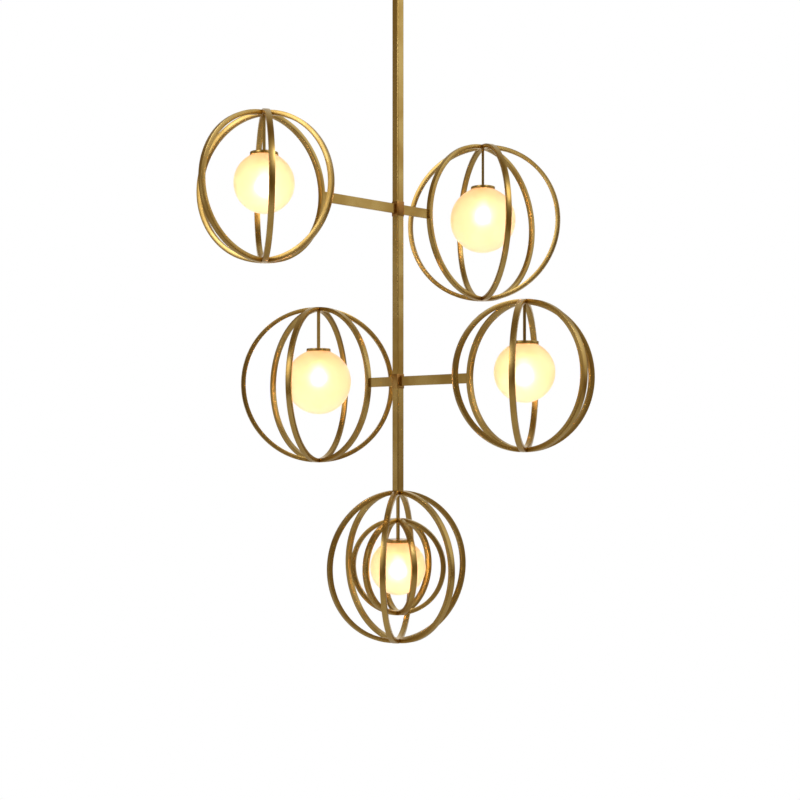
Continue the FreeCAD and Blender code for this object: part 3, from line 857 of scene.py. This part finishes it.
def modelCollar(name, arm):
    low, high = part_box(name)
    armLow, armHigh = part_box(arm)
    size = high - low
    bpy.ops.object.select_all(action="DESELECT")
    bpy.ops.mesh.primitive_cube_add(size=1, location=(low + high) / 2)
    bpy.context.object.scale = size
    collar = newPiece(f"{name}_sleeve")
    editAll(collar)
    bpy.ops.mesh.select_mode(type="FACE")
    bpy.ops.mesh.select_all(action="DESELECT")
    bpy.ops.object.mode_set(mode="OBJECT")
    for face in collar.data.polygons:
        face.select = abs(face.normal.z) > 0.9
    bpy.ops.object.mode_set(mode="EDIT")
    bpy.ops.mesh.delete(type="FACE")
    bpy.ops.object.mode_set(mode="OBJECT")
    runModifier(collar, "BEVEL", width=collarLook["corner"], segments=collarLook["cornerSteps"],
                limit_method="ANGLE")
    runModifier(collar, "SOLIDIFY", thickness=collarLook["wall"], offset=-1, use_even_offset=True)
    wide = armHigh - armLow
    bpy.ops.object.select_all(action="DESELECT")
    bpy.ops.mesh.primitive_cube_add(size=1, location=(0, 0, (armLow.z + armHigh.z) / 2))
    gap, reach = collarLook["windowGap"], collarLook["windowReach"]
    thick = min(wide.x, wide.y) + gap
    along, across = (reach, thick) if wide.x > wide.y else (thick, reach)
    bpy.context.object.scale = (along, across, wide.z + gap)
    cutWith(collar, newPiece("windowCutter"))
    easeEdges(collar, collarLook["edge"])
    smoothFaces(collar)
    dress(collar, "fixture", "brass", brassDarker, name)


modelCanopy()
modelCollar("upper_arm_collar", "upper_large_arm")
modelCollar("lower_arm_collar", "lower_large_arm")
print("canopy and collars modelled")


# finishes of the nodes that stay as the frame has them
stayingNodes = {
    "stem_tube": brassUpright, "stem_top_lugs": brassUpright, "swivel_yoke": brassUpright,
    "canopy_ring_nut": brassUpright, "pole_rivets": brassUpright,
    "upper_small_arm": brassAlongX, "upper_large_arm": brassAlongX,
    "lower_large_arm": brassAlongY, "lower_small_arm": brassAlongY,
    "ceiling_crossbar": zincPlate, "swivel_bolt": zincPlate,
    "crossbar_locknut": zincPlate, "swivel_pin": zincPlate,
}
for orb in lampOrbs:
    stayingNodes[f"{orb}_drop_rod"] = brassUpright
for name, material in stayingNodes.items():
    cadNodes[name].data.materials.clear()
    cadNodes[name].data.materials.append(material)
print("finishes given to", len(stayingNodes), "frame nodes")


shot = {"azimuth": 43.3, "distance": 2.33, "height": -0.9135, "sideStep": 0.0037, "lens": 57.15,
        "rise": 0.0431, "sensor": 36, "near": 0.05, "far": 60}
studio = {"dim": (0.19, 0.135, 0.06), "bright": (0.98, 0.97, 0.92), "backdrop": 34.0,
          "backdropEven": 20.0, "lampGlow": 0.8, "lampColour": (1.0, 0.90, 0.66),
          "lampClear": 0.0006, "smallGlobe": 0.0508}
# degrees round from behind the camera to the picture's right, degrees up, half width of the even
# middle, half width of the whole, strength
softLights = {
    "frontLeft": (-42, 22, 8, 30, 0.78),
    "frontRight": (30, 36, 9, 32, 0.64),
    "right": (92, 28, 8, 36, 0.9),
    "left": (-93, -6, 4, 24, 0.42),
    "backRight": (150, 42, 8, 48, 0.32),
    "backLeft": (-160, 48, 6, 44, 0.22),
}
darkCamera = (0, 4, 7, 24, 0.72)

turn = math.radians(shot["azimuth"])
ahead = Vector((math.sin(turn), math.cos(turn), 0))
right = Vector((math.cos(turn), -math.sin(turn), 0))

cameraData = bpy.data.cameras.new("photoCamera")
camera = bpy.data.objects.new("photoCamera", cameraData)
bpy.context.scene.collection.objects.link(camera)
camera.location = -ahead * shot["distance"] + right * shot["sideStep"] + upright * shot["height"]
camera.rotation_euler = (math.pi / 2, 0, -turn)
cameraData.lens = shot["lens"]
cameraData.sensor_width = shot["sensor"]
cameraData.shift_y = shot["rise"]
cameraData.clip_start = shot["near"]
cameraData.clip_end = shot["far"]
bpy.context.scene.camera = camera


def wayTo(around, rise):
    side, up = math.radians(around), math.radians(rise)
    level = right * math.sin(side) - ahead * math.cos(side)
    return level * math.cos(up) + upright * math.sin(up)


def softSpot(tree, place, direction, light):
    # 1 in the middle of a soft light, falling to 0 at its edge
    around, rise, even, whole, strength = light
    nearness = addNode(tree, "ShaderNodeVectorMath", place, {"operation": "DOT_PRODUCT"})
    join(tree, direction, nearness.inputs[0])
    nearness.inputs[1].default_value = wayTo(around, rise)
    return spread(tree, (place[0] + 200, place[1]), nearness.outputs["Value"],
                  math.cos(math.radians(whole)), math.cos(math.radians(even)), 0.0, strength)


def lightRoom():
    world = bpy.data.worlds.new("studioRoom")
    bpy.context.scene.world = world
    world.use_nodes = True
    world.cycles.sampling_method = "NONE"
    tree = world.node_tree
    direction = addNode(tree, "ShaderNodeTexCoord", (-1500, 0)).outputs["Generated"]
    level = None
    for row, light in enumerate(softLights.values()):
        spot = softSpot(tree, (-1300, 600 - row * 200), direction, light)
        level = mathNode(tree, "ADD", (-900, 600 - row * 200), level, spot) if level else spot
    dark = softSpot(tree, (-1300, -500), direction, darkCamera)
    unshaded = mathNode(tree, "SUBTRACT", (-900, -500), 1.0, dark)
    room = mixColours(tree, (-700, 200), level, studio["dim"], studio["bright"])
    shaded = addNode(tree, "ShaderNodeVectorMath", (-500, 200), {"operation": "SCALE"})
    join(tree, room, shaded.inputs[0])
    join(tree, unshaded, shaded.inputs["Scale"])
    backdrop = softSpot(tree, (-1300, -800), direction, (
        180, 0, studio["backdropEven"], studio["backdrop"], 1.0))
    path = addNode(tree, "ShaderNodeLightPath", (-1300, -1100))
    seen = mathNode(tree, "ADD", (-900, -1100), path.outputs["Is Camera Ray"],
                    path.outputs["Is Transmission Ray"])
    white = mathNode(tree, "MULTIPLY_ADD", (-700, -900), path.outputs["Is Glossy Ray"], backdrop,
                     seen, clamp=True)
    colour = mixColours(tree, (-300, 100), white, shaded.outputs["Vector"], (1.0, 1.0, 1.0))
    join(tree, colour, tree.nodes["Background"].inputs["Color"])


floorLook = {"level": -2.5, "reach": 6.0, "sides": 96, "rough": 0.8, "cloudSize": 0.8,
             "spotSize": 90.0, "spots": 0.3, "pale": (0.93, 0.93, 0.925),
             "cloudy": (0.90, 0.90, 0.895), "under": 0.72, "inner": 0.5, "outer": 2.2}


def layFloor():
    bpy.ops.object.select_all(action="DESELECT")
    bpy.ops.mesh.primitive_circle_add(vertices=floorLook["sides"], radius=floorLook["reach"],
                                      fill_type="NGON", location=(0, 0, floorLook["level"]))
    floor = newPiece("pale_floor")
    material, tree, shader, place = startMaterial("paleFloor", {
        "Roughness": floorLook["rough"], "Metallic": 0.0})
    patina = useGroup(tree, patinaClouds, (-900, 0), place, {
        "Cloud Size": floorLook["cloudSize"], "Spot Size": floorLook["spotSize"],
        "Spots": floorLook["spots"]})
    pale = mixColours(tree, (-600, 0), patina.outputs["Clouds"], floorLook["pale"],
                      floorLook["cloudy"])
    join(tree, pale, shader.inputs["Base Color"])
    glow = addNode(tree, "ShaderNodeEmission", (-100, -200), None, {
        "Color": (1, 1, 1, 1), "Strength": 1.0})
    flat = addNode(tree, "ShaderNodeVectorMath", (-1100, -300), {"operation": "MULTIPLY"})
    flat.inputs[1].default_value = (1, 1, 0)
    apart = addNode(tree, "ShaderNodeVectorMath", (-900, -300), {"operation": "LENGTH"})
    join(tree, place, flat.inputs[0])
    join(tree, flat.outputs["Vector"], apart.inputs[0])
    # seen as white, but less so under the lamp, where its shadow stays
    outer = spread(tree, (-700, -300), apart.outputs["Value"], floorLook["inner"],
                   floorLook["outer"], floorLook["under"], 1.0)
    path = addNode(tree, "ShaderNodeLightPath", (-1100, -520))
    seen = mathNode(tree, "ADD", (-900, -520), path.outputs["Is Camera Ray"],
                    path.outputs["Is Transmission Ray"])
    white = mathNode(tree, "MULTIPLY", (-300, -300), outer, seen)
    blend = addNode(tree, "ShaderNodeMixShader", (200, 0))
    join(tree, white, blend.inputs[0])
    join(tree, shader.outputs[0], blend.inputs[1])
    join(tree, glow.outputs[0], blend.inputs[2])
    join(tree, blend.outputs[0], tree.nodes["Material Output"].inputs["Surface"])
    floor.data.materials.append(material)


# metres to the picture's right, away from the camera and up, then watts and colour
softboxes = {
    "keySoftbox": (1.6, -2.0, 1.2, 14, (1, 1, 1)),
    "fillSoftbox": (-2.0, -1.9, 0.3, 8, (1.0, 0.97, 0.92)),
}
softboxSize = 1.2
aim = Vector((0, 0, -0.8))


def hangLight(name, sideways, forward, up, watts, colour):
    data = bpy.data.lights.new(name, "AREA")
    data.shape = "DISK"
    data.size = softboxSize
    data.energy = watts
    data.color = colour
    light = bpy.data.objects.new(name, data)
    bpy.context.scene.collection.objects.link(light)
    light.location = right * sideways + ahead * forward + upright * up
    light.rotation_euler = (aim - light.location).to_track_quat("-Z", "Y").to_euler()
    light.visible_camera = False


def lightGlobes():
    # each lit globe also lights the brass round it, and these lamps light nothing but the brass
    brasses = (brassRound, brassUpright, brassDarker, brassAlongX, brassAlongY)
    brassPieces = bpy.data.collections.new("brassPieces")
    for piece in bpy.data.objects:
        if piece.type == "MESH" and piece.data.materials and piece.data.materials[0] in brasses:
            brassPieces.objects.link(piece)
    for orb in lampOrbs:
        low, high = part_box(f"{orb}_globe")
        radius = (high.x - low.x) / 2
        data = bpy.data.lights.new(f"{orb}_glow", "POINT")
        data.shadow_soft_size = radius + studio["lampClear"]
        data.energy = studio["lampGlow"] * (radius / studio["smallGlobe"]) ** 2
        data.color = studio["lampColour"]
        glow = bpy.data.objects.new(f"{orb}_glow", data)
        bpy.context.scene.collection.objects.link(glow)
        glow.location = ((low.x + high.x) / 2, (low.y + high.y) / 2, low.z + radius)
        glow.visible_camera = False
        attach(glow, f"{orb}_globe")
        glow.light_linking.receiver_collection = brassPieces


lightRoom()
layFloor()
for name, box in softboxes.items():
    hangLight(name, *box)
lightGlobes()
bpy.context.scene.view_settings.view_transform = "Standard"
print("studio lit")
